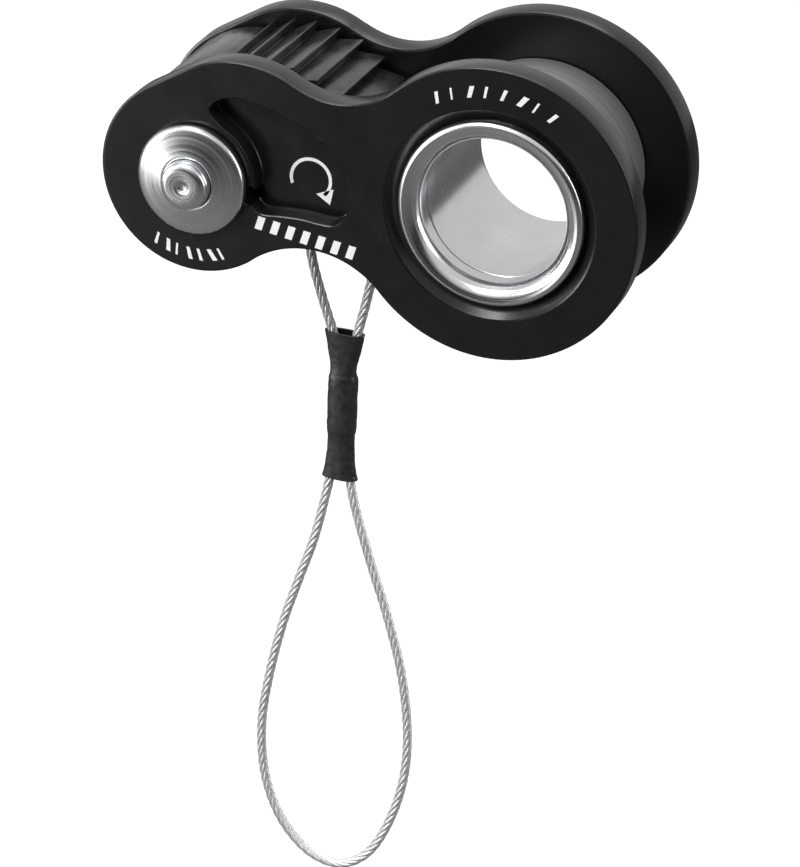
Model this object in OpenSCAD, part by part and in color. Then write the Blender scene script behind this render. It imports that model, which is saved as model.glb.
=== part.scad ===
// Cam rope clamp with a turning rope drum.
// Two peanut-shaped side plates, a hollow drum on the eye tube, and a sprung
// toothed cam on the axle, with a wire sling that pulls the cam open.
// The origin is the centre of the eye, +X points away from the cam,
// +Y goes from the front plate to the rear plate, and +Z is up.

/* [Side plates] */
// Thickness of each side plate
plate_t = 4.3; // [3.5:0.1:4.8]
// Radius of the big lobe, round the eye
big_lobe_r = 22.2; // [21:0.1:22.8]
// Distance from the cam's axle to the eye
axle_to_eye = 45.4; // [45.4:0.1:46]

/* [Rope channel] */
// Gap between the side plates
channel_w = 20; // [18:0.5:24]
// Radius of the drum that the rope runs round
drum_r = 15.4; // [14.8:0.1:15.4]

/* [Eye] */
// Radius of the eye, for a connector
eye_r = 11; // [9:0.5:11]

/* [Cam] */
// Radius of the axle where the cam turns
axle_r = 5; // [4:0.5:5.5]
// Number of teeth on the cam
teeth = 9; // [5:1:9]
// Width of the cam along its axle
cam_w = 18; // [16:0.2:18]

/* [Wire sling] */
// Diameter of the wire cable
cable_d = 1.5; // [1:0.1:1.5]

/* [Hidden] */
$fn = 96;

half_gap = channel_w / 2;
half_w = half_gap + plate_t;
cut = 0.5;             // how far a cutter runs past the face it cuts
apart = 0.3;           // clear space between pieces that move past each other
running = 0.05;        // radial clearance of a running fit

// Plate outline: two lobes on the axle's side, two hollows at the neck
small_lobe_r = 14.8;
top_lobe = [6.9, 2.2, 16.2];      // from the axle: x, z, radius
top_hollow = [-22.8, 27.6, 13.6]; // from the eye: x, z, radius
low_hollow = [-28.1, -23.6, 14.5];

// Eye: countersink in the plate, lip of the tube, and the tube's wall
tube_r = 13;
eyelet_r = 12.6;
lip_r = 14.1;
lip_t = 1.8;
sink_r = 16;
ring_t = 0.8;
ring_r = 14.6;
groove_r = 12.5;
ring_in = 1;           // from the tube's end to the far side of its groove
bush_wall = 1;
drum_end = half_gap - 0.4;
drum_recess = -half_gap + 1.7;

// Pocket milled in the front plate, seen from the front, from the axle
pocket_depth = 3;
pocket = [[1.8, 11.0], [3.7, 12.4], [6.8, 12.9], [9.9, 12.5], [16.7, 9.9], [21.3, 7.4],
          [23.6, 4.6], [24.1, 1.6], [23.9, -1.5], [22.7, -4.4], [20.4, -4.9], [16.4, -4.4],
          [10.5, -4.6], [6.5, -6.0]];
boss_r = 9.4;
spring_hole = [8.4, -1.9, 1.4];   // from the axle: x, z, radius

// Axle ends and washers
stem_r = 3.67;
stem_out = 4.8;
stem_chamfer = 0.9;
washer_r = 8.4;
washer_t = 2.6;
thrust_t = 0.4;

// Cam: teeth on a spiral, measured at the axle in degrees and millimetres
first_tooth = 78.5;
tooth_step = 9.3;
first_r = 17.05;
spiral = 1.4875;       // how much further out each next tooth lies
back_r = 15.2;
hub_r = 9.5;
heel = [-6, 30.1];
slot_w = 2.5;
slot_r = 9.6;
pin = [-28.2, -5.8, 1.5];         // cable pin, from the eye: x, z, radius
lug_r = 3.2;
spring_bay_r = 8.6;
spring_bay = 6.5;

// Torsion spring
wire_d = 1.1;
coil_r = 7.0;
coil_turns = 4;
coil_pitch = 1.25;
spring_top = half_gap - 1.5;

// Sling: the cable starts in the ferrule, goes up over the pin, back down
// through the ferrule, round the pull loop and up into the ferrule again
ferrule = [-28.84, -39.8, 3.15];  // from the eye: x, z, lean in degrees
ferrule_l = 7.4;
ferrule_r = 1.35;
ferrule_side = 0.55;
strand_gap = 0.8;
route = [[-28.0, -39.3], [-27.8, -35], [-27.1, -31], [-26.2, -28], [-24.8, -23],
         [-23.5, -17.5], [-22.7, -12], [-24.2, -6], [-28.2, -3.3], [-32.2, -6],
         [-33.7, -12], [-33.1, -17.5], [-31.7, -23], [-30.2, -28], [-29.7, -31],
         [-29.4, -35], [-29.6, -39.5], [-29.9, -44.5], [-30.4, -48.5], [-31.4, -53.5],
         [-33.9, -63], [-36.8, -71], [-39.6, -79], [-42, -88], [-43.6, -97],
         [-43.4, -106], [-41, -113.5], [-36.5, -118.8], [-31, -120.3], [-26, -117.2],
         [-22.2, -110.5], [-19.8, -102.5], [-19.1, -94], [-20, -84], [-22.2, -74.5],
         [-25, -65], [-27.3, -56], [-28.2, -49], [-28.3, -44.5], [-28.05, -40.4]];
// Sleeve sections along its axis: height, half width, half thickness
sleeve = [[11.8, 3.25, 1.3], [9, 2.7, 1.3], [5.6, 2.05, 1.3], [3.9, 2.3, 1.75],
          [-3.9, 2.3, 1.75], [-6, 2.15, 1.3], [-9.5, 2.4, 1.3], [-12.4, 2.9, 1.3]];
sleeve_wall = 0.35;

function polar(a, r) = [r * cos(a) - axle_to_eye, r * sin(a)];

// ---- Laying out -----------------------------------------------------------

// Stands a flat outline in the X-Z plane between two depths
module between(front, back) {
    translate([0, back, 0]) rotate([90, 0, 0]) linear_extrude(back - front) children();
}

// Turns a radius-by-depth outline round the eye's axis or the axle
module turned(x = 0) {
    translate([x, 0, 0]) rotate([-90, 0, 0]) rotate_extrude() children();
}

module rod(front, back, r, x = 0, z = 0) {
    translate([x, back, z]) rotate([90, 0, 0]) cylinder(h = back - front, r = r);
}

module plate_outline() {
    axle = [-axle_to_eye, 0];
    difference() {
        union() {
            circle(r = big_lobe_r);
            translate(axle) circle(r = small_lobe_r);
            translate(axle + [top_lobe[0], top_lobe[1]]) circle(r = top_lobe[2]);
            polygon([[-14.14, 17.11], [-29.98, 15.98], [-38.5, 2.2], axle,
                     [-36.65, -11.94], [-17.0, -14.28], [0, 0]]);
        }
        translate([top_hollow[0], top_hollow[1]]) circle(r = top_hollow[2]);
        translate([low_hollow[0], low_hollow[1]]) circle(r = low_hollow[2]);
    }
}

// Cone that the lip of an eye tube is rolled into, opening at the outer face
module countersink() {
    turned() polygon([[0, -half_w - cut], [sink_r + cut, -half_w - cut], [sink_r, -half_w],
                      [lip_r, -half_w + lip_t], [0, -half_w + lip_t]]);
}

// ---- Side plates ----------------------------------------------------------

module plate(eye_hole_r, stem_hole_r) {
    difference() {
        union() {
            between(-half_w, -half_gap) plate_outline();
            between(-half_w, -half_gap)
                polygon([[-53.2, 12.5], [-45.6, 16.6], [-38.5, 2.2], [-axle_to_eye, 0]]);
        }
        rod(-half_w - cut, -half_gap + cut, eye_hole_r);
        rod(-half_w - cut, -half_gap + cut, stem_hole_r, -axle_to_eye);
        rod(-half_w - cut, -half_gap + cut, spring_hole[2],
            spring_hole[0] - axle_to_eye, spring_hole[1]);
        countersink();
    }
}

module rear_side_plate() {
    color("#1b1c1e") mirror([0, 1, 0]) plate(tube_r, stem_r);
}

module front_side_plate() {
    color("#1b1c1e") difference() {
        plate(eyelet_r, stem_r + running);
        difference() {
            between(-half_w - cut, -half_w + pocket_depth)
                translate([-axle_to_eye, 0]) polygon(pocket);
            rod(-half_w - 2 * cut, -half_gap, boss_r, -axle_to_eye);
        }
    }
}

// ---- Eye and drum ---------------------------------------------------------

// Half outline of a tube with a rolled lip, from its lip to its plain end
module lipped_tube(wall_r, end) {
    turned() polygon([[eye_r, end], [eye_r, -half_w + 2], [eye_r + 0.3, -half_w + 1.2],
                      [eye_r + 1, -half_w + 0.5], [eye_r + 1.7, -half_w + 0.1],
                      [eye_r + 2.1, -half_w], [lip_r - 0.6, -half_w],
                      [lip_r - 0.2, -half_w + 0.3],
                      [lip_r, -half_w + 0.9], [lip_r, -half_w + lip_t],
                      [wall_r, -half_w + lip_t], [wall_r, end]]);
}

module eye_tube() {
    front_end = half_gap - apart;
    groove = front_end - ring_in;
    color("#c9cbcc") mirror([0, 1, 0]) difference() {
        lipped_tube(tube_r, front_end);
        turned() polygon([[groove_r, groove], [ring_r, groove],
                          [ring_r, groove + ring_t], [groove_r, groove + ring_t]]);
    }
}

module front_eyelet() {
    color("#d2d3d4") lipped_tube(eyelet_r, -half_gap);
}

// Snap ring in the eye tube's groove, which keeps the drum on the tube
module retaining_ring() {
    near = -half_gap + apart + ring_in;
    color("#8d9092") difference() {
        rod(near - ring_t, near, ring_r);
        rod(near - ring_t - cut, near + cut, groove_r);
        translate([ring_r, near, 0]) cube([ring_r, 4 * cut + ring_t, 3], center = true);
    }
}

module drum_bush() {
    color("#a9793f") difference() {
        rod(drum_recess, drum_end, tube_r + running + bush_wall);
        rod(drum_recess - cut, drum_end + cut, tube_r + running);
    }
}

// The front end is recessed for the snap ring
module drum_roller() {
    color("#85888a") difference() {
        rod(-drum_end, drum_end, drum_r);
        rod(-drum_end - cut, drum_end + cut, tube_r + running + bush_wall);
        rod(-drum_end - cut, drum_recess, ring_r + apart);
    }
}

// ---- Axle -----------------------------------------------------------------

module cam_axle() {
    end = half_w + stem_out;
    color("#b4b6b8") turned(-axle_to_eye)
        polygon([[0, -end + 0.4], [0.5, -end], [stem_r - stem_chamfer, -end],
                 [stem_r, -end + stem_chamfer], [stem_r, -half_gap + apart],
                 [axle_r, -half_gap + apart], [axle_r, half_gap], [stem_r, half_gap],
                 [stem_r, end - stem_chamfer], [stem_r - stem_chamfer, end], [0, end]]);
}

module domed_washer(face) {
    turned(-axle_to_eye)
        polygon([[stem_r, face], [washer_r, face], [washer_r, face - 1.1],
                 [washer_r - 0.3, face - 1.55], [washer_r - 0.9, face - 1.8],
                 [stem_r + 0.4, face - washer_t], [stem_r, face - washer_t + 0.2]]);
}

module domed_washers() {
    color("#c4c6c7") {
        domed_washer(-half_w - apart);
        mirror([0, 1, 0]) domed_washer(-half_w);
    }
}

module thrust_washers() {
    for (near = [-half_gap + apart, half_gap - thrust_t])
        color("#a9793f") difference() {
            rod(near, near + thrust_t, axle_r + 1.2, -axle_to_eye);
            rod(near - cut, near + thrust_t + cut, axle_r, -axle_to_eye);
        }
}

// ---- Cam ------------------------------------------------------------------

// One tooth: its tip, then the undercut foot that the next ramp starts from
function tooth(i) =
    let (a = first_tooth - i * tooth_step, r = first_r + i * spiral, deep = 1.4 + 0.13 * i)
    [polar(a, r), polar(a - 0.6, r - 0.1), polar(a - 1.9, r - deep)];

module cam_outline() {
    back = [for (a = [200 : -8 : 88]) polar(a, back_r - 0.03 * (a - 88))];
    ridges = [for (i = [0 : teeth - 1]) each tooth(i)];
    polygon(concat([polar(268, hub_r), polar(240, 10.6), polar(220, 12.2)], back,
                   [polar(83, back_r)], ridges,
                   [polar(heel[0], heel[1]), polar(-12, 27.4), polar(-17, 24.8),
                    [-24.6, -7.3], [pin[0], -8.4], [-32.0, -6.6], [-39.5, -7.2]]));
}

module cam() {
    leg_a = atan2(spring_hole[1], spring_hole[0]) + 3;
    color("#5b5e61") difference() {
        union() {
            between(-cam_w / 2, cam_w / 2) cam_outline();
            rod(-cam_w / 2, cam_w / 2, lug_r, pin[0], pin[1]);
        }
        rod(-half_gap, half_gap, axle_r + running, -axle_to_eye);
        rod(cam_w / 2 - spring_bay, half_gap, spring_bay_r, -axle_to_eye);
        rod(-slot_w / 2, slot_w / 2, slot_r, pin[0], pin[1]);
        rod(-half_gap, half_gap, pin[2], pin[0], pin[1]);
        rod(0, half_gap, 1, coil_r * cos(leg_a) - axle_to_eye, coil_r * sin(leg_a));
    }
}

module cable_pin() {
    color("#b4b6b8") rod(-cam_w / 2, cam_w / 2, pin[2], pin[0], pin[1]);
}

// ---- Swept wire -----------------------------------------------------------

function unit(v) = v / norm(v);

// Eight-sided tube along a list of points, whose rings are turned by a list of
// directions that lie across the line
module swept(line, d, turns) {
    n = len(line);
    sides = 8;
    function along(i) = unit(line[min(i + 1, n - 1)] - line[max(i - 1, 0)]);
    function ring(i) =
        let (t = along(i), u = unit(turns[i] - (turns[i] * t) * t), v = cross(t, u))
        [for (k = [0 : sides - 1]) let (a = 360 * (k + 0.5) / sides)
            line[i] + d / 2 * (cos(a) * u + sin(a) * v)];
    points = [for (i = [0 : n - 1]) each ring(i)];
    skin = [for (i = [0 : n - 2]) for (k = [0 : sides - 1])
        let (a = i * sides + k, b = i * sides + (k + 1) % sides)
        [a, b, b + sides, a + sides]];
    ends = [[for (k = [sides - 1 : -1 : 0]) k],
            [for (k = [0 : sides - 1]) (n - 1) * sides + k]];
    polyhedron(points = points, faces = concat(skin, ends), convexity = 10);
}

// One leg stands in the hole of the rear plate and the other in the cam
module cam_spring() {
    steps = 14;
    start_a = atan2(spring_hole[1], spring_hole[0]);
    hole_at = norm([spring_hole[0], spring_hole[1]]);
    function at(a, r, y) = [r * cos(a) - axle_to_eye, y, r * sin(a)];
    coil = [for (i = [0 : coil_turns * steps])
        at(start_a + 360 * i / steps, coil_r, spring_top - coil_pitch * i / steps)];
    rear_leg = [for (y = [half_w - 1.5, half_w - 2.6, half_gap - 0.2]) at(start_a, hole_at, y)];
    cam_leg = [for (deep = [1.0, 2.6])
        at(start_a + 3, coil_r, spring_top - coil_pitch * coil_turns - deep)];
    line = concat(rear_leg, coil, cam_leg);
    color("#c9cbcc") swept(line, wire_d, [for (p = line) [p[0] + axle_to_eye, 0, p[2]]]);
}

// ---- Sling ----------------------------------------------------------------

// Point on the smooth curve through four neighbouring route points
function curve(p, q, r, s, t) =
    0.5 * (2 * q + (r - p) * t + (2 * p - 5 * q + 4 * r - s) * t * t
           + (3 * q - p - 3 * r + s) * t * t * t);

module release_cable() {
    last = len(route) - 1;
    at = [for (i = [0 : last]) [route[i][0], 0, route[i][1]]];
    line = concat([for (i = [0 : last - 1]) for (t = [0, 0.5])
        curve(at[max(i - 1, 0)], at[i], at[i + 1], at[min(i + 2, last)], t)], [at[last]]);
    color("#b9bbbc") swept(line, cable_d, [for (p = line) [0, 1, 0]]);
}

module on_sling() {
    translate([ferrule[0], 0, ferrule[1]]) rotate([0, ferrule[2], 0]) children();
}

module flat_round(half_width, half_thick, height) {
    linear_extrude(height) hull() for (side = [-1, 1])
        translate([side * (half_width - half_thick), 0]) circle(r = half_thick, $fn = 32);
}

module cable_ferrule() {
    color("#a3a5a6") on_sling() difference() {
        translate([0, 0, -ferrule_l / 2]) union() {
            for (side = [-1, 1]) translate([side * ferrule_side, 0, 0])
                cylinder(h = ferrule_l, r = ferrule_r);
            translate([-ferrule_side, -ferrule_r, 0])
                cube([2 * ferrule_side, 2 * ferrule_r, ferrule_l]);
        }
        for (side = [-1, 1]) translate([side * strand_gap, 0, -ferrule_l])
            cylinder(h = 2 * ferrule_l, r = cable_d / 2 + 0.1);
    }
}

module sleeve_shape(less, over) {
    last = len(sleeve) - 1;
    for (i = [0 : last - 1])
        hull() for (k = [i, i + 1])
            translate([0, 0, sleeve[k][0] + (k == 0 ? over : k == last ? -over : 0)])
                flat_round(sleeve[k][1] - less, sleeve[k][2] - less, 0.02);
}

module heat_shrink_sleeve() {
    color("#161616") on_sling() difference() {
        sleeve_shape(0, 0);
        sleeve_shape(sleeve_wall, 0.1);
    }
}

rear_side_plate();
front_side_plate();
eye_tube();
front_eyelet();
drum_bush();
drum_roller();
retaining_ring();
cam_axle();
domed_washers();
thrust_washers();
cam();
cable_pin();
cam_spring();
release_cable();
cable_ferrule();
heat_shrink_sleeve();
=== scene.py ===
import math

import bmesh
import bpy
from mathutils import Matrix, Vector, noise


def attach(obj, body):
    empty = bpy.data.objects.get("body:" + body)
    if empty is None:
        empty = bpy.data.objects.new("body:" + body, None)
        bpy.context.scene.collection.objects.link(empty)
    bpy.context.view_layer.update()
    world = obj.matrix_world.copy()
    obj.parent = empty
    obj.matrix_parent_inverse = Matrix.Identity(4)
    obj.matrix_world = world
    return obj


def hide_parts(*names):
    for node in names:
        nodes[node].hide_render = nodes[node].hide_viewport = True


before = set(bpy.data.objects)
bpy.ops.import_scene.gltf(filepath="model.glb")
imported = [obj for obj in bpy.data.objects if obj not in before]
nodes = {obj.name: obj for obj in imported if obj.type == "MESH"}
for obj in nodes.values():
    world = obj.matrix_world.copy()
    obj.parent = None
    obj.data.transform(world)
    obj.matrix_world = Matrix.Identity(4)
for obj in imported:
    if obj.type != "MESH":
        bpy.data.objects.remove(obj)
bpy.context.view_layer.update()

# ---- Bench and studio light -------------------------------------------------
# A plain pale bench well below the tool, and a room that is pale to look at and
# lights the tool from above and behind. Soft light boxes: a wide one overhead,
# the main one at the upper left, one on each side and a weak one low down.
scene = bpy.context.scene
scene.view_settings.view_transform = "Standard"

aim = Vector((-0.0073, -0.0311, -0.0277))
turn, tilt, roll = math.radians(21.6), math.radians(25.1), math.radians(-0.8)
distance, lens = 0.622, 182.4
away = Vector((math.sin(turn) * math.cos(tilt), -math.cos(turn) * math.cos(tilt), math.sin(tilt)))
camera = bpy.data.objects.new("camera", bpy.data.cameras.new("camera"))
scene.collection.objects.link(camera)
camera.data.lens = lens
camera.data.clip_start = 0.02
camera.matrix_world = (Matrix.Translation(aim + distance * away) @ Matrix.Rotation(turn, 4, "Z")
                       @ Matrix.Rotation(math.pi / 2 - tilt, 4, "X")
                       @ Matrix.Rotation(roll, 4, "Z"))
scene.camera = camera

bench_half, bench_z = 4, -0.5
bench_corners = [(x * bench_half, y * bench_half, bench_z)
                 for x, y in ((-1, -1), (1, -1), (1, 1), (-1, 1))]
bench_mesh = bpy.data.meshes.new("bench")
bench_mesh.from_pydata(bench_corners, [], [(0, 1, 2, 3)])
bench = bpy.data.objects.new("bench", bench_mesh)
scene.collection.objects.link(bench)


def seen_bright(tree, seen, bounced):
    """Strength that is one value where it is looked at and another as a light."""
    path = tree.nodes.new("ShaderNodeLightPath")
    level = tree.nodes.new("ShaderNodeMapRange")
    level.inputs["To Min"].default_value = bounced
    level.inputs["To Max"].default_value = seen
    tree.links.new(path.outputs["Is Camera Ray"], level.inputs["Value"])
    return level.outputs["Result"]


bench_paint = bpy.data.materials.new("bench_paint")
bench_paint.use_nodes = True
bench_shader = bench_paint.node_tree.nodes["Principled BSDF"]
bench_shader.inputs["Base Color"].default_value = (0.12, 0.12, 0.12, 1)
bench_shader.inputs["Roughness"].default_value = 0.9
bench_shader.inputs["Emission Color"].default_value = (1, 1, 1, 1)
bench_paint.node_tree.links.new(seen_bright(bench_paint.node_tree, 0.97, 0.0),
                                bench_shader.inputs["Emission Strength"])
bench_mesh.materials.append(bench_paint)

room = bpy.data.worlds.new("room")
room.use_nodes = True
backdrop = room.node_tree.nodes["Background"]
backdrop.inputs["Color"].default_value = (1, 1, 1, 1)
way = room.node_tree.nodes.new("ShaderNodeTexCoord").outputs["Generated"]
lean = room.node_tree.nodes.new("ShaderNodeVectorMath")
lean.operation = "DOT_PRODUCT"
lean.inputs[1].default_value = (0, 0.35, 1)
room.node_tree.links.new(way, lean.inputs[0])
glow = room.node_tree.nodes.new("ShaderNodeMapRange")
glow.inputs["From Min"].default_value = -0.05
glow.inputs["From Max"].default_value = 0.25
glow.inputs["To Min"].default_value = 0.02
glow.inputs["To Max"].default_value = 0.75
room.node_tree.links.new(lean.outputs["Value"], glow.inputs["Value"])
level = seen_bright(room.node_tree, 1.0, 0.0)
room.node_tree.links.new(glow.outputs["Result"], level.node.inputs["To Min"])
room.node_tree.links.new(level, backdrop.inputs["Strength"])
scene.world = room


def light_box(name, place, width, height, power):
    lamp = bpy.data.lights.new(name, "AREA")
    lamp.shape = "RECTANGLE"
    lamp.size = width
    lamp.size_y = height
    lamp.energy = power
    box = bpy.data.objects.new(name, lamp)
    box.location = place
    box.rotation_euler = (-Vector(place)).to_track_quat("-Z", "Y").to_euler()
    scene.collection.objects.link(box)


light_box("overhead_box", (-0.15, 0.35, 0.9), 0.9, 0.7, 7)
light_box("main_box", (-0.36, -0.64, 0.82), 0.45, 0.35, 7)
light_box("left_box", (-0.95, -0.60, 0.15), 0.40, 0.7, 8)
light_box("right_box", (0.95, -0.15, 0.25), 0.30, 0.7, 4)
light_box("low_left_box", (-0.85, -1.0, -0.30), 0.45, 0.4, 1.5)


# ---- Wire cable ---------------------------------------------------------------
# One length of 1.5 mm galvanised wire rope, six strands laid round a core. It
# starts in the ferrule, goes over the cam's pin, back through the ferrule,
# round the pull loop and up into the ferrule again.
cable_r = 0.00075
route = [
    (-0.0280, -0.0393), (-0.0278, -0.0350), (-0.0271, -0.0310), (-0.0262, -0.0280),
    (-0.0248, -0.0230), (-0.0235, -0.0175), (-0.0227, -0.0120), (-0.0242, -0.0060),
    (-0.0282, -0.0033), (-0.0322, -0.0060), (-0.0337, -0.0120), (-0.0331, -0.0175),
    (-0.0317, -0.0230), (-0.0302, -0.0280), (-0.0297, -0.0310), (-0.0294, -0.0350),
    (-0.0296, -0.0395), (-0.0299, -0.0445), (-0.0304, -0.0485), (-0.0314, -0.0535),
    (-0.0339, -0.0630), (-0.0368, -0.0710), (-0.0396, -0.0790), (-0.0420, -0.0880),
    (-0.0436, -0.0970), (-0.0434, -0.1060), (-0.0410, -0.1135), (-0.0365, -0.1188),
    (-0.0310, -0.1203), (-0.0260, -0.1172), (-0.0222, -0.1105), (-0.0198, -0.1025),
    (-0.0191, -0.0940), (-0.0200, -0.0840), (-0.0222, -0.0745), (-0.0250, -0.0650),
    (-0.0273, -0.0560), (-0.0282, -0.0490), (-0.0283, -0.0445), (-0.02805, -0.0404)]


def smooth_line(points, steps, closed=False):
    """Curve through the points, steps to each span. Points are tuples of any length."""
    count = len(points)
    line = []
    for i in range(count if closed else count - 1):
        if closed:
            four = [Vector(points[(i + k) % count]) for k in (-1, 0, 1, 2)]
        else:
            four = [Vector(points[min(max(i + k, 0), count - 1)]) for k in (-1, 0, 1, 2)]
        p, q, r, s = four
        for step in range(steps):
            t = step / steps
            line.append(0.5 * (2 * q + (r - p) * t + (2 * p - 5 * q + 4 * r - s) * t * t
                               + (3 * q - p - 3 * r + s) * t ** 3))
    if not closed:
        line.append(Vector(points[-1]))
    return line


def new_piece(name, mesh_data, body, sharp=35):
    """Puts a finished bmesh in the scene as a piece that rides on a body."""
    bmesh.ops.recalc_face_normals(mesh_data, faces=mesh_data.faces)
    mesh = bpy.data.meshes.new(name)
    mesh_data.to_mesh(mesh)
    mesh_data.free()
    piece = bpy.data.objects.new(name, mesh)
    scene.collection.objects.link(piece)
    finish_shading(piece, sharp)
    if body:
        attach(piece, body)
    return piece


def finish_shading(piece, sharp):
    piece.data.shade_smooth()
    piece.data.set_sharp_from_angle(angle=math.radians(sharp))


def skin_rings(mesh_data, rings, joined=False):
    """Quads between neighbouring rings of points. Open ends are filled."""
    made = [[mesh_data.verts.new(p) for p in ring] for ring in rings]
    count = len(made[0])
    pairs = list(zip(made, made[1:])) + ([(made[-1], made[0])] if joined else [])
    for low, high in pairs:
        for k in range(count):
            mesh_data.faces.new((low[k], low[(k + 1) % count], high[(k + 1) % count], high[k]))
    if not joined:
        mesh_data.faces.new(made[0])
        mesh_data.faces.new(made[-1])


def laid_rope(name, line, body):
    """Rope of six strands: each ring is the strands' outline, turned a little on."""
    strands, lay, per_strand = 6, 0.0095, 6
    strand_r = cable_r / 3
    rings, run = [], 0.0
    for i, point in enumerate(line):
        ahead = line[min(i + 1, len(line) - 1)] - line[max(i - 1, 0)]
        ahead.normalize()
        across = Vector((0, 1, 0))
        side = ahead.cross(across)
        if i:
            run += (point - line[i - 1]).length
        ring = []
        for k in range(strands * per_strand):
            within = ((k % per_strand) / per_strand - 0.5) * 2 * math.pi / strands
            reach = 2 * strand_r * math.cos(within) + math.sqrt(
                max(strand_r ** 2 - (2 * strand_r * math.sin(within)) ** 2, 0))
            reach = max(reach, 0.74 * cable_r)
            a = 2 * math.pi * (k / (strands * per_strand) + run / lay)
            ring.append(point + reach * (math.cos(a) * across + math.sin(a) * side))
        rings.append(ring)
    data = bmesh.new()
    skin_rings(data, rings)
    return new_piece(name, data, body, sharp=60)


def start_material(name, base, metal, rough):
    """A shader with its fixed values set on its own sockets."""
    made = bpy.data.materials.new(name)
    made.use_nodes = True
    shader = made.node_tree.nodes["Principled BSDF"]
    shader.inputs["Base Color"].default_value = (*base, 1)
    shader.inputs["Metallic"].default_value = metal
    shader.inputs["Roughness"].default_value = rough
    return made, made.node_tree, shader


def grain(tree, vector, size, detail=4):
    """Noise of about that grain size in metres, on the given coordinates."""
    texture = tree.nodes.new("ShaderNodeTexNoise")
    texture.inputs["Scale"].default_value = 1 / size
    texture.inputs["Detail"].default_value = detail
    tree.links.new(vector, texture.inputs["Vector"])
    return texture.outputs[0]


grain_low, grain_high = 0.3, 0.7  # nearly all of a grain's values lie between these


def spread(tree, value, low, high):
    """Maps a grain's value to a range."""
    mapped = tree.nodes.new("ShaderNodeMapRange")
    mapped.inputs["From Min"].default_value = grain_low
    mapped.inputs["From Max"].default_value = grain_high
    mapped.inputs["To Min"].default_value = low
    mapped.inputs["To Max"].default_value = high
    tree.links.new(value, mapped.inputs["Value"])
    return mapped.outputs["Result"]


def tint(tree, value, dark, light):
    """Mixes two colours by a grain's value."""
    ramp = tree.nodes.new("ShaderNodeValToRGB")
    ramp.color_ramp.elements[0].position = grain_low
    ramp.color_ramp.elements[0].color = (*dark, 1)
    ramp.color_ramp.elements[1].position = grain_high
    ramp.color_ramp.elements[1].color = (*light, 1)
    tree.links.new(value, ramp.inputs["Fac"])
    return ramp.outputs["Color"]


def raise_bumps(tree, shader, height, strength, depth):
    bump = tree.nodes.new("ShaderNodeBump")
    bump.inputs["Strength"].default_value = strength
    bump.inputs["Distance"].default_value = depth
    tree.links.new(height, bump.inputs["Height"])
    tree.links.new(bump.outputs["Normal"], shader.inputs["Normal"])


def own_coordinates(tree):
    return tree.nodes.new("ShaderNodeTexCoord").outputs["Object"]


def galvanised_wire():
    """Drawn zinc-coated wire, dull in the lay's grooves."""
    made, tree, shader = start_material("galvanised_wire", (0.62, 0.63, 0.64), 0.55, 0.42)
    place = own_coordinates(tree)
    fine = grain(tree, place, 0.0004)
    tree.links.new(tint(tree, fine, (0.52, 0.53, 0.54), (0.74, 0.75, 0.76)),
                   shader.inputs["Base Color"])
    tree.links.new(spread(tree, fine, 0.34, 0.52), shader.inputs["Roughness"])
    raise_bumps(tree, shader, grain(tree, place, 0.00018, 2), 0.20, 0.00003)
    return made


cable_line = smooth_line([(x, 0, z) for x, z in route], 12)
cable = laid_rope("wire_cable", cable_line, "sling")
cable.data.materials.append(galvanised_wire())


# ---- Ferrule and shrink tubing --------------------------------------------------
# A pressed aluminium double sleeve joins the cable's three runs. Black shrink
# tubing covers it, drawn in to a waist above and below and flared at its mouths.
def on_sling():
    return (Matrix.Translation((-0.02884, 0, -0.0398))
            @ Matrix.Rotation(math.radians(3.15), 4, "Y"))


# Height, half width and half thickness of the tubing
tubing = [(0.0118, 0.00322, 0.00128), (0.0104, 0.00295, 0.00126), (0.0085, 0.00255, 0.00124),
          (0.0066, 0.00215, 0.00128), (0.0052, 0.00208, 0.00148), (0.0038, 0.00228, 0.00173),
          (0.0, 0.00229, 0.00174), (-0.0038, 0.00227, 0.00172), (-0.0052, 0.00212, 0.00148),
          (-0.0066, 0.00212, 0.00128), (-0.0090, 0.00228, 0.00124), (-0.0110, 0.00252, 0.00126),
          (-0.0124, 0.00287, 0.00128)]


def shrink_tubing(name):
    wall, around = 0.00035, 56
    place = on_sling()
    shape = smooth_line(tubing, 7)

    def ring(height, half_w, half_t, less):
        points = []
        for k in range(around):
            a = 2 * math.pi * k / around
            x = (half_w - less) * math.copysign(abs(math.cos(a)) ** 0.86, math.cos(a))
            y = (half_t - less) * math.copysign(abs(math.sin(a)) ** 0.80, math.sin(a))
            fold = noise.noise(Vector((x * 900, y * 900, height * 420)))
            crease = noise.noise(Vector((x * 300 + 7, y * 300, height * 1700)))
            pull = 1 - 0.045 * max(fold, 0) - 0.05 * max(crease, 0)
            points.append(place @ Vector((x * pull, y * pull, height)))
        return points

    outside = [ring(*section, 0) for section in shape]
    inside = [ring(*section, wall) for section in reversed(shape)]
    lip = [ring(shape[-1][0] - 0.00003, shape[-1][1], shape[-1][2], wall * 0.5)]
    top_lip = [ring(shape[0][0] + 0.00003, shape[0][1], shape[0][2], wall * 0.5)]
    data = bmesh.new()
    skin_rings(data, outside + lip + inside + top_lip, joined=True)
    return new_piece(name, data, "sling", sharp=70)


def black_tubing():
    """Polyolefin tubing, dull with a slight sheen and fine wrinkles."""
    made, tree, shader = start_material("black_tubing", (0.014, 0.014, 0.015), 0.0, 0.42)
    place = own_coordinates(tree)
    fine = grain(tree, place, 0.0012, 6)
    tree.links.new(spread(tree, fine, 0.34, 0.52), shader.inputs["Roughness"])
    tree.links.new(tint(tree, fine, (0.010, 0.010, 0.011), (0.022, 0.022, 0.023)),
                   shader.inputs["Base Color"])
    raise_bumps(tree, shader, grain(tree, place, 0.0009, 5), 0.5, 0.00012)
    return made


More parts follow.
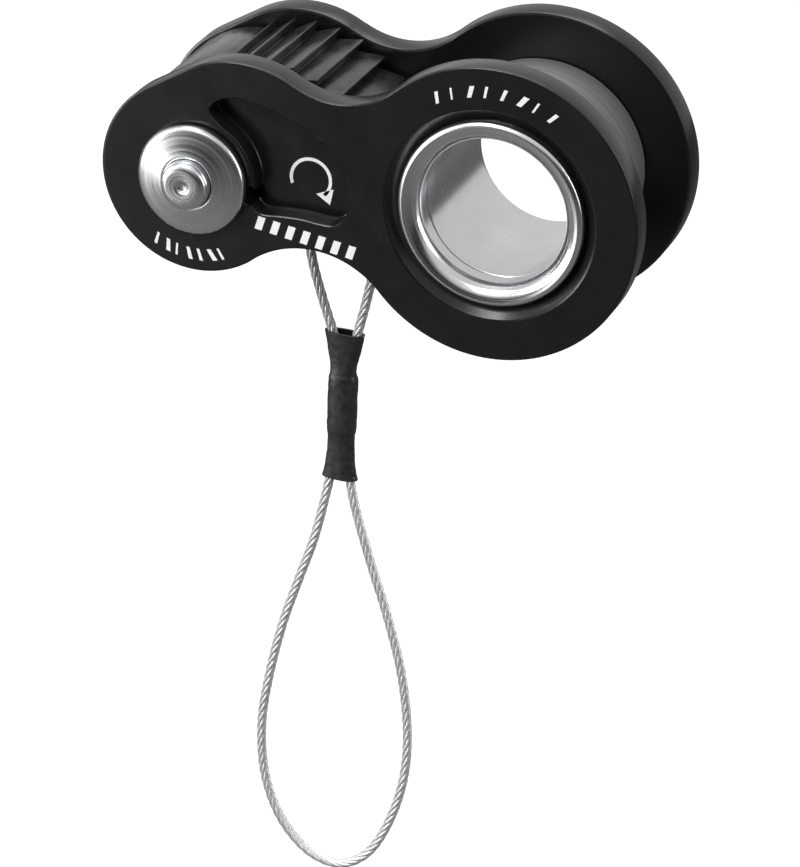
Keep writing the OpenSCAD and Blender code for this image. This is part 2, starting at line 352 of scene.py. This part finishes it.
sleeve = shrink_tubing("shrink_tubing")
sleeve.data.materials.append(black_tubing())
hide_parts("release_cable")
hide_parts("heat_shrink_sleeve")


def pressed_aluminium():
    made, tree, shader = start_material("pressed_aluminium", (0.6, 0.6, 0.61), 1.0, 0.4)
    fine = grain(tree, own_coordinates(tree), 0.0006)
    tree.links.new(spread(tree, fine, 0.3, 0.5), shader.inputs["Roughness"])
    return made


def dress(node, material):
    """Gives a CAD node its finish."""
    nodes[node].data.materials.clear()
    nodes[node].data.materials.append(material)


dress("cable_ferrule", pressed_aluminium())


# ---- Side plates ----------------------------------------------------------------
# Two plates of 4.3 mm aluminium, cut to one outline of arcs, with the outer
# edge just broken, then black anodised. Only the front one has the pocket.
axle_x = -0.0454
face, gap_side = 0.0143, 0.0100
past_face, past_gap = face + 0.0010, gap_side - 0.0005  # where cutters end
lip_r, lip_back = 0.0141, face - 0.0018
eyelet_wall_r, tube_wall_r = 0.0126, 0.0130
stem_bore = 0.00372
hole_at, hole_r = (axle_x + 0.0084, -0.0019), 0.0014
# Centre, radius, start and end angle of each arc, and whether it bulges outwards
outline_arcs = [
    (0.0, 0.0, 0.0222, -139.97, 129.56, True),
    (-0.0228, 0.0276, 0.0136, -50.44, -121.70, False),
    (-0.0385, 0.0022, 0.0162, 58.30, 118.85, True),
    (axle_x, 0.0, 0.0148, 118.85, 306.24, True),
    (-0.0281, -0.0236, 0.0145, 126.24, 40.03, False)]


def arc(x, z, r, start, end, step=2.5):
    """Points along an arc, without its last one, so that arcs join in a chain."""
    count = max(2, round(abs(end - start) / step))
    angles = [math.radians(start + (end - start) * i / count) for i in range(count)]
    return [(x + r * math.cos(a), z + r * math.sin(a)) for a in angles]


def plate_outline(inset):
    points = []
    for x, z, r, start, end, bulges in outline_arcs:
        points += arc(x, z, r - inset if bulges else r + inset, start, end)
    return points


def stood(points, depth):
    return [(x, depth, z) for x, z in points]


def inset_path(points, inset):
    """Moves a closed path inwards; the path runs anticlockwise."""
    moved = []
    for i, (x, z) in enumerate(points):
        before, after = points[i - 1], points[(i + 1) % len(points)]
        along = Vector((after[0] - before[0], after[1] - before[1])).normalized()
        moved.append((x - along.y * inset, z + along.x * inset))
    return moved


def cut_away(piece, *cutters):
    """Takes cutters out of a piece and leaves a plain mesh."""
    for cutter in cutters:
        saw = piece.modifiers.new("cut", "BOOLEAN")
        saw.object = cutter
        saw.operation = "DIFFERENCE"
        saw.solver = "EXACT"
        bpy.context.view_layer.update()
        seen = piece.evaluated_get(bpy.context.evaluated_depsgraph_get())
        result = bpy.data.meshes.new_from_object(seen)
        piece.modifiers.clear()
        piece.data = result
        bpy.data.objects.remove(cutter)
    finish_shading(piece, 20)


def turned_rings(profile, x, facets):
    return [[(x + r * math.cos(a), y, r * math.sin(a)) for r, y in profile]
            for a in (2 * math.pi * i / facets for i in range(facets))]


def turned_cutter(profile, x=0.0, z=0.0, facets=96):
    """Cutter that is round about an axis along Y, from an open radius-depth profile."""
    data = bmesh.new()
    rings = [[(x + r * math.cos(2 * math.pi * k / facets), y,
               z + r * math.sin(2 * math.pi * k / facets)) for k in range(facets)]
             for r, y in profile]
    skin_rings(data, rings)
    return new_piece("cutter", data, None)


def eye_cutter(side, wall_r):
    """Bore for the tube's wall, with a countersink down to its lip."""
    return turned_cutter([(0.0170, side * past_face), (0.01615, side * face),
                          (0.0159, side * (face - 0.0001)), (lip_r, side * lip_back),
                          (wall_r, side * lip_back), (wall_r, side * past_gap)])


def drilled(r, x, z, side=-1):
    return turned_cutter([(r + 0.0004, side * past_face), (r + 0.0002, side * face),
                          (r, side * (face - 0.0002)), (r, side * past_gap)], x, z, 64)


def side_plate(name, side, wall_r, body):
    rim = 0.0003
    steps = [(rim + 0.0002, face)]
    steps += [(rim * (1 - math.sin(a)), face - rim * (1 - math.cos(a)))
              for a in (math.radians(15 * i) for i in range(7))]
    steps += [(0.0, gap_side + 0.0004), (0.0001, gap_side + 0.00012),
              (0.0004, gap_side), (0.0007, gap_side)]
    data = bmesh.new()
    skin_rings(data, [stood(plate_outline(inset), side * depth) for inset, depth in steps])
    plate = new_piece(name, data, body)
    cut_away(plate, eye_cutter(side, wall_r), drilled(stem_bore, axle_x, 0, side))
    return plate


# Pocket in the front plate, from the axle: its wall, then back round the boss
pocket_wall = [(0.0026, 0.0105), (0.0040, 0.0122), (0.0068, 0.0129), (0.0099, 0.0125),
               (0.0133, 0.0114), (0.0167, 0.0099), (0.0192, 0.0086), (0.0213, 0.0072),
               (0.0230, 0.0050), (0.0240, 0.0018), (0.0240, -0.0012), (0.0231, -0.0036),
               (0.0217, -0.0047), (0.0198, -0.0048), (0.0164, -0.0044), (0.0130, -0.0044),
               (0.0112, -0.0045), (0.0099, -0.0043)]
boss_r, floor_depth = 0.0094, 0.0030


def pocket_cutter():
    """Pocket with its rim just broken and a small fillet round its floor."""
    boss = arc(0, 0, boss_r, -20, 70, 9)
    floor = face - floor_depth
    path = pocket_wall + boss
    path = [(axle_x + p[0], p[1]) for p in smooth_line(path, 4, closed=True)]
    path.reverse()
    steps = [(-0.0004, face + 0.0006), (-0.00018, face), (-0.00005, face - 0.00012),
             (0.0, face - 0.0003), (0.0, floor + 0.0004), (0.00006, floor + 0.0002),
             (0.00018, floor + 0.00005), (0.0003, floor), (0.00045, floor)]
    data = bmesh.new()
    skin_rings(data, [stood(inset_path(path, inset), -depth) for inset, depth in steps])
    return new_piece("cutter", data, None)


def black_anodised():
    """Deep black anodising over a fine bead-blasted face, a little glossy."""
    made, tree, shader = start_material("black_anodised", (0.006, 0.0062, 0.0066), 0.0, 0.24)
    place = own_coordinates(tree)
    clouds = grain(tree, place, 0.02, 3)
    tree.links.new(tint(tree, clouds, (0.005, 0.0052, 0.0056), (0.008, 0.0082, 0.0088)),
                   shader.inputs["Base Color"])
    tree.links.new(spread(tree, grain(tree, place, 0.004, 6), 0.20, 0.29),
                   shader.inputs["Roughness"])
    shader.inputs["Specular IOR Level"].default_value = 0.4
    raise_bumps(tree, shader, grain(tree, place, 0.00022, 2), 0.12, 0.00003)
    return made


anodising = black_anodised()
front_plate = side_plate("front_plate", -1, eyelet_wall_r, "front_plate")
cut_away(front_plate, pocket_cutter(), drilled(hole_r, *hole_at))
front_plate.data.materials.clear()
front_plate.data.materials.append(anodising)
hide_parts("front_side_plate")

rear_plate = side_plate("rear_plate", 1, tube_wall_r, "frame")
cut_away(rear_plate, drilled(hole_r, *hole_at, 1))
rear_plate.data.materials.clear()
rear_plate.data.materials.append(anodising)
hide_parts("rear_side_plate")


# ---- Eye tube and eyelet ----------------------------------------------------------
# The eye is lined with turned and polished steel: a long tube pressed in the
# rear plate, and a short eyelet in the front one, each rolled over into a lip.
def eased(points, r, steps=4, closed=True):
    """Rounds the corners of a profile or an outline."""
    count = len(points)
    made = []
    for i in range(count):
        here = Vector(points[i])
        if not closed and i in (0, count - 1):
            made.append(tuple(here))
            continue
        before, after = Vector(points[i - 1]), Vector(points[(i + 1) % count])
        back = min(r, 0.42 * (before - here).length)
        ahead = min(r, 0.42 * (after - here).length)
        start = here + (before - here).normalized() * back
        end = here + (after - here).normalized() * ahead
        for k in range(steps + 1):
            t = k / steps
            made.append(tuple((1 - t) ** 2 * start + 2 * t * (1 - t) * here + t * t * end))
    return made


def turned_piece(name, profile, x, body, facets=160):
    """Ring that is round about an axis along Y, from a closed profile."""
    data = bmesh.new()
    skin_rings(data, turned_rings(profile, x, facets), joined=True)
    return new_piece(name, data, body, sharp=28)


eye_r = 0.0110
tube_end = 0.0097  # a little short of the front plate


def lipped_tube(name, side, wall_r, plain_end, body):
    """Tube from its plain end to its lip, whose mouth flares over 2 mm."""
    lip = [(eye_r, face - 0.0028), (eye_r, face - 0.0021), (0.01112, face - 0.00155),
           (0.0115, face - 0.0010), (0.0120, face - 0.00052), (0.0126, face - 0.00017),
           (0.0131, face - 0.00002), (0.0134, face), (0.0138, face - 0.00022),
           (0.01402, face - 0.0005), (lip_r, face - 0.0010)]
    curve = [tuple(p) for p in smooth_line(lip, 4)]
    profile = ([(eye_r, plain_end + 0.00012)] + curve
               + [(lip_r, lip_back), (wall_r, lip_back), (wall_r, plain_end),
                  (eye_r + 0.00012, plain_end)])
    return turned_piece(name, [(r, side * y) for r, y in profile], 0.0, body)


def turned_steel(name, x, base=(0.70, 0.71, 0.72), rough=0.2):
    """Polished steel with the fine rings that the lathe leaves round its axis."""
    made, tree, shader = start_material(name, base, 1.0, rough)
    apart = tree.nodes.new("ShaderNodeSeparateXYZ")
    tree.links.new(own_coordinates(tree), apart.inputs[0])
    flat = tree.nodes.new("ShaderNodeCombineXYZ")
    shift = tree.nodes.new("ShaderNodeMath")
    shift.operation = "SUBTRACT"
    shift.inputs[1].default_value = x
    tree.links.new(apart.outputs["X"], shift.inputs[0])
    tree.links.new(shift.outputs[0], flat.inputs["X"])
    tree.links.new(apart.outputs["Z"], flat.inputs["Y"])
    reach = tree.nodes.new("ShaderNodeVectorMath")
    reach.operation = "LENGTH"
    tree.links.new(flat.outputs[0], reach.inputs[0])
    rings = tree.nodes.new("ShaderNodeCombineXYZ")
    tree.links.new(reach.outputs["Value"], rings.inputs["X"])
    tree.links.new(apart.outputs["Y"], rings.inputs["Y"])
    fine = grain(tree, rings.outputs[0], 0.00025, 3)
    tree.links.new(spread(tree, fine, rough * 0.7, rough * 1.5), shader.inputs["Roughness"])
    tree.links.new(tint(tree, grain(tree, own_coordinates(tree), 0.006),
                        tuple(0.92 * c for c in base), base), shader.inputs["Base Color"])
    raise_bumps(tree, shader, fine, 0.05, 0.00001)
    shader.inputs["Anisotropic"].default_value = 0.3
    round_axis = tree.nodes.new("ShaderNodeTangent")
    round_axis.direction_type = "RADIAL"
    round_axis.axis = "Y"
    tree.links.new(round_axis.outputs["Tangent"], shader.inputs["Tangent"])
    return made


eye_steel = turned_steel("eye_steel", 0.0)
eyelet = lipped_tube("front_eyelet_ring", -1, eyelet_wall_r, gap_side, "front_plate")
eyelet.data.materials.append(eye_steel)
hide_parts("front_eyelet")
tube = lipped_tube("eye_tube_ring", 1, tube_wall_r, -tube_end, "frame")
tube.data.materials.append(eye_steel)
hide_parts("eye_tube")


# ---- Rope drum --------------------------------------------------------------------
# A hard-anodised aluminium drum on a bronze bush turns on the eye tube. A
# snap ring in the recess of its front end keeps it there.
drum_r, drum_end = 0.0154, 0.0096
drum_bore_r, recess_r, recess_floor = 0.01405, 0.0149, -0.0083


def hard_anodised():
    """Matt grey, with the dull bands that the rope polishes."""
    made, tree, shader = start_material("hard_anodised", (0.20, 0.20, 0.205), 0.55, 0.5)
    place = own_coordinates(tree)
    apart = tree.nodes.new("ShaderNodeSeparateXYZ")
    tree.links.new(place, apart.inputs[0])
    bands = tree.nodes.new("ShaderNodeCombineXYZ")
    tree.links.new(apart.outputs["Y"], bands.inputs["Y"])
    fine = grain(tree, bands.outputs[0], 0.0006, 5)
    tree.links.new(tint(tree, fine, (0.17, 0.17, 0.175), (0.23, 0.23, 0.235)),
                   shader.inputs["Base Color"])
    tree.links.new(spread(tree, fine, 0.42, 0.58), shader.inputs["Roughness"])
    raise_bumps(tree, shader, grain(tree, place, 0.0003, 3), 0.15, 0.00003)
    return made


def bronze():
    made, tree, shader = start_material("bearing_bronze", (0.42, 0.26, 0.12), 1.0, 0.35)
    fine = grain(tree, own_coordinates(tree), 0.0015)
    tree.links.new(tint(tree, fine, (0.34, 0.20, 0.09), (0.48, 0.30, 0.14)),
                   shader.inputs["Base Color"])
    tree.links.new(spread(tree, fine, 0.28, 0.44), shader.inputs["Roughness"])
    return made


def spring_steel():
    made, tree, shader = start_material("spring_steel", (0.42, 0.42, 0.43), 1.0, 0.3)
    fine = grain(tree, own_coordinates(tree), 0.0008)
    tree.links.new(spread(tree, fine, 0.24, 0.4), shader.inputs["Roughness"])
    return made


drum_profile = eased([(drum_r, -drum_end), (drum_r, drum_end), (drum_bore_r, drum_end),
                      (drum_bore_r, recess_floor), (recess_r, recess_floor),
                      (recess_r, -drum_end)], 0.0002)
drum = turned_piece("rope_drum", drum_profile, 0.0, "drum")
drum.data.materials.append(hard_anodised())
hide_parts("drum_roller")
bush_bronze, snap_steel = bronze(), spring_steel()
dress("drum_bush", bush_bronze)
dress("thrust_washers", bush_bronze)
dress("retaining_ring", snap_steel)


# ---- Axle and washers ---------------------------------------------------------------
# The cam's shouldered axle runs through both plates. A coned washer, turned
# from steel bar, sits on each side, and the axle's ends stand out of them.
stem_r, stem_end = 0.00367, 0.0191
axle_r, shoulder_front, shoulder_rear = 0.005, -0.0097, 0.0100
washer_r, washer_thick, washer_gap = 0.0084, 0.0026, 0.0003


def axle(name):
    half = [(0.0, stem_end - 0.0005), (0.0006, stem_end - 0.0004), (0.0010, stem_end),
            (stem_r - 0.0009, stem_end), (stem_r - 0.0002, stem_end - 0.00035),
            (stem_r, stem_end - 0.0010), (stem_r, -shoulder_front)]
    smooth = eased(half, 0.00025, closed=False)[1:]
    rear = eased([(stem_r, shoulder_rear)] + half[:-1][::-1], 0.00025, closed=False)[:-1]
    bearing = [(axle_r, shoulder_front), (axle_r, shoulder_rear)]
    profile = [(r, -y) for r, y in smooth] + bearing + rear
    data = bmesh.new()
    facets = 96
    rings = [[(axle_x + r * math.cos(2 * math.pi * k / facets), y,
               r * math.sin(2 * math.pi * k / facets)) for k in range(facets)]
             for r, y in profile]
    skin_rings(data, rings)
    return new_piece(name, data, "frame", sharp=28)


def coned_washer(name, side, foot):
    top = foot + washer_thick
    profile = eased([(stem_r, foot), (washer_r, foot), (washer_r, foot + 0.0011),
                     (washer_r - 0.0003, foot + 0.00155), (washer_r - 0.0009, foot + 0.0018),
                     (stem_r + 0.0004, top), (stem_r, top - 0.0002)], 0.0005)
    return turned_piece(name, [(r, side * y) for r, y in profile], axle_x, "frame")


axle_steel = turned_steel("axle_steel", axle_x, (0.66, 0.67, 0.68), 0.24)
cam_axle = axle("axle")
cam_axle.data.materials.append(axle_steel)
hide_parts("cam_axle")
front_washer = coned_washer("front_washer", -1, face + washer_gap)
rear_washer = coned_washer("rear_washer", 1, face)
for washer in (front_washer, rear_washer):
    washer.data.materials.append(axle_steel)
    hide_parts("domed_washers")


# ---- Cam --------------------------------------------------------------------------
# Cast steel with a dark, slightly glossy skin. Its teeth lie on a spiral, with
# undercut feet, and the lug below is slotted for the cable and cross-drilled
# for the cable's pin.
cam_half = 0.0090
pin_x, pin_z, pin_r = -0.0282, -0.0058, 0.0015
bay_floor, bay_r = 0.0025, 0.0086
slot_half, slot_r = 0.00125, 0.0096
past_cam = 0.0110  # where cutters end, outside the cam
running = 0.00005


def polar(angle, r):
    return (axle_x + r * math.cos(math.radians(angle)), r * math.sin(math.radians(angle)))


def cam_outline():
    back = [polar(a, 0.0152 - 0.00003 * (a - 88)) for a in range(200, 87, -8)]
    teeth = []
    for i in range(9):
        a, r, deep = 78.5 - 9.3 * i, 0.01705 + 0.0014875 * i, 0.0014 + 0.00013 * i
        teeth += [polar(a, r), polar(a - 0.6, r - 0.0001), polar(a - 1.9, r - deep)]
    lug = arc(pin_x, pin_z, 0.0032, -34.2, -158.2, 14)
    return ([polar(268, 0.0095), polar(240, 0.0106), polar(220, 0.0122)] + back
            + [polar(83, 0.0152)] + teeth
            + [polar(-6, 0.0301), polar(-12, 0.0274), polar(-17, 0.0248), (-0.0246, -0.0073)]
            + lug + [(-0.0320, -0.0066), (-0.0395, -0.0072)])


def rod_cutter(r, x, z, low, high):
    return turned_cutter([(r, low), (r, high)], x, z)


def toothed_cam(name):
    """The edges are broken only a little: more would close the narrow tooth gullets."""
    path = eased(cam_outline(), 0.00022, 3)
    path.reverse()
    steps = [(0.00008, -cam_half), (0.00002, -cam_half + 0.00003), (0.0, -cam_half + 0.0001),
             (0.0, cam_half - 0.0001), (0.00002, cam_half - 0.00003), (0.00008, cam_half)]
    data = bmesh.new()
    skin_rings(data, [stood(inset_path(path, inset), depth) for inset, depth in steps])
    cam = new_piece(name, data, "cam")
    cut_away(cam, rod_cutter(axle_r + running, axle_x, 0, -past_cam, past_cam),
             rod_cutter(bay_r, axle_x, 0, bay_floor, past_cam),
             rod_cutter(slot_r, pin_x, pin_z, -slot_half, slot_half),
             rod_cutter(pin_r + 0.00002, pin_x, pin_z, -past_cam, past_cam))
    return cam


def cast_steel():
    """Dark cast steel, a little uneven in colour and in gloss."""
    made, tree, shader = start_material("cast_steel", (0.07, 0.07, 0.073), 0.8, 0.26)
    place = own_coordinates(tree)
    patches = grain(tree, place, 0.0025, 6)
    tree.links.new(tint(tree, patches, (0.055, 0.055, 0.058), (0.085, 0.085, 0.088)),
                   shader.inputs["Base Color"])
    tree.links.new(spread(tree, patches, 0.20, 0.30), shader.inputs["Roughness"])
    raise_bumps(tree, shader, grain(tree, place, 0.0005, 5), 0.15, 0.00003)
    return made


cam = toothed_cam("toothed_cam")
cam.data.materials.clear()
cam.data.materials.append(cast_steel())
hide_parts("cam")
dress("cable_pin", axle_steel)
dress("cam_spring", snap_steel)


# ---- Laser marks --------------------------------------------------------------------
# Pale laser marks on the front plate: plain dashes, bars and a turning arrow,
# each a thin layer that stands a hair proud of the anodising.
mark_thick = 0.00004


def mark(data, corners, depth):
    """One flat mark: an outline on the plate, given a hair of thickness."""
    low = [data.verts.new((x, depth, z)) for x, z in corners]
    high = [data.verts.new((x, depth - mark_thick, z)) for x, z in corners]
    count = len(corners)
    data.faces.new(low)
    data.faces.new(high)
    for k in range(count):
        data.faces.new((low[k], low[(k + 1) % count], high[(k + 1) % count], high[k]))


def band(x, z, r_in, r_out, start, end):
    inner = arc(x, z, r_in, start, end, 3)
    outer = arc(x, z, r_out, end, start, 3)
    return inner + outer


def laser_marks(name):
    data = bmesh.new()
    on_face, on_floor = -face + 0.00001, -face + floor_depth + 0.00001
    for i, width in enumerate((3.2, 1.8, 4.2, 2.4, 3.2, 5.0, 2.0, 3.4)):
        start = 116.0 - i * 7.9
        mark(data, band(0, 0, 0.0178, 0.0195, start, start - width), on_face)
    for i, width in enumerate((4.0, 6.0, 3.0, 5.5, 4.5, 6.5, 3.5)):
        start = -123.5 + i * 8.2
        mark(data, band(axle_x, 0, 0.0113, 0.0131, start, start + width), on_face)
    for i in range(7):
        x, z = -0.0362 + 0.00235 * i, -0.0068 - 0.00044 * i
        mark(data, [(x, z), (x + 0.0011, z - 0.0002), (x + 0.0018, z + 0.0018),
                    (x + 0.0007, z + 0.0020)], on_face)
    x, z = -0.0284, 0.0008
    mark(data, band(x, z, 0.0028, 0.0033, -50, 200), on_floor)
    mark(data, [(x + 0.0008, z - 0.0022), (x + 0.0029, z - 0.0037), (x + 0.0035, z - 0.0012)],
         on_floor)
    return new_piece(name, data, "front_plate", sharp=20)


def laser_white():
    made, tree, shader = start_material("laser_white", (0.85, 0.85, 0.83), 0.0, 0.6)
    fine = grain(tree, own_coordinates(tree), 0.0002, 2)
    tree.links.new(tint(tree, fine, (0.76, 0.76, 0.74), (0.94, 0.94, 0.92)),
                   shader.inputs["Base Color"])
    return made


marks = laser_marks("laser_marks")
marks.data.materials.append(laser_white())
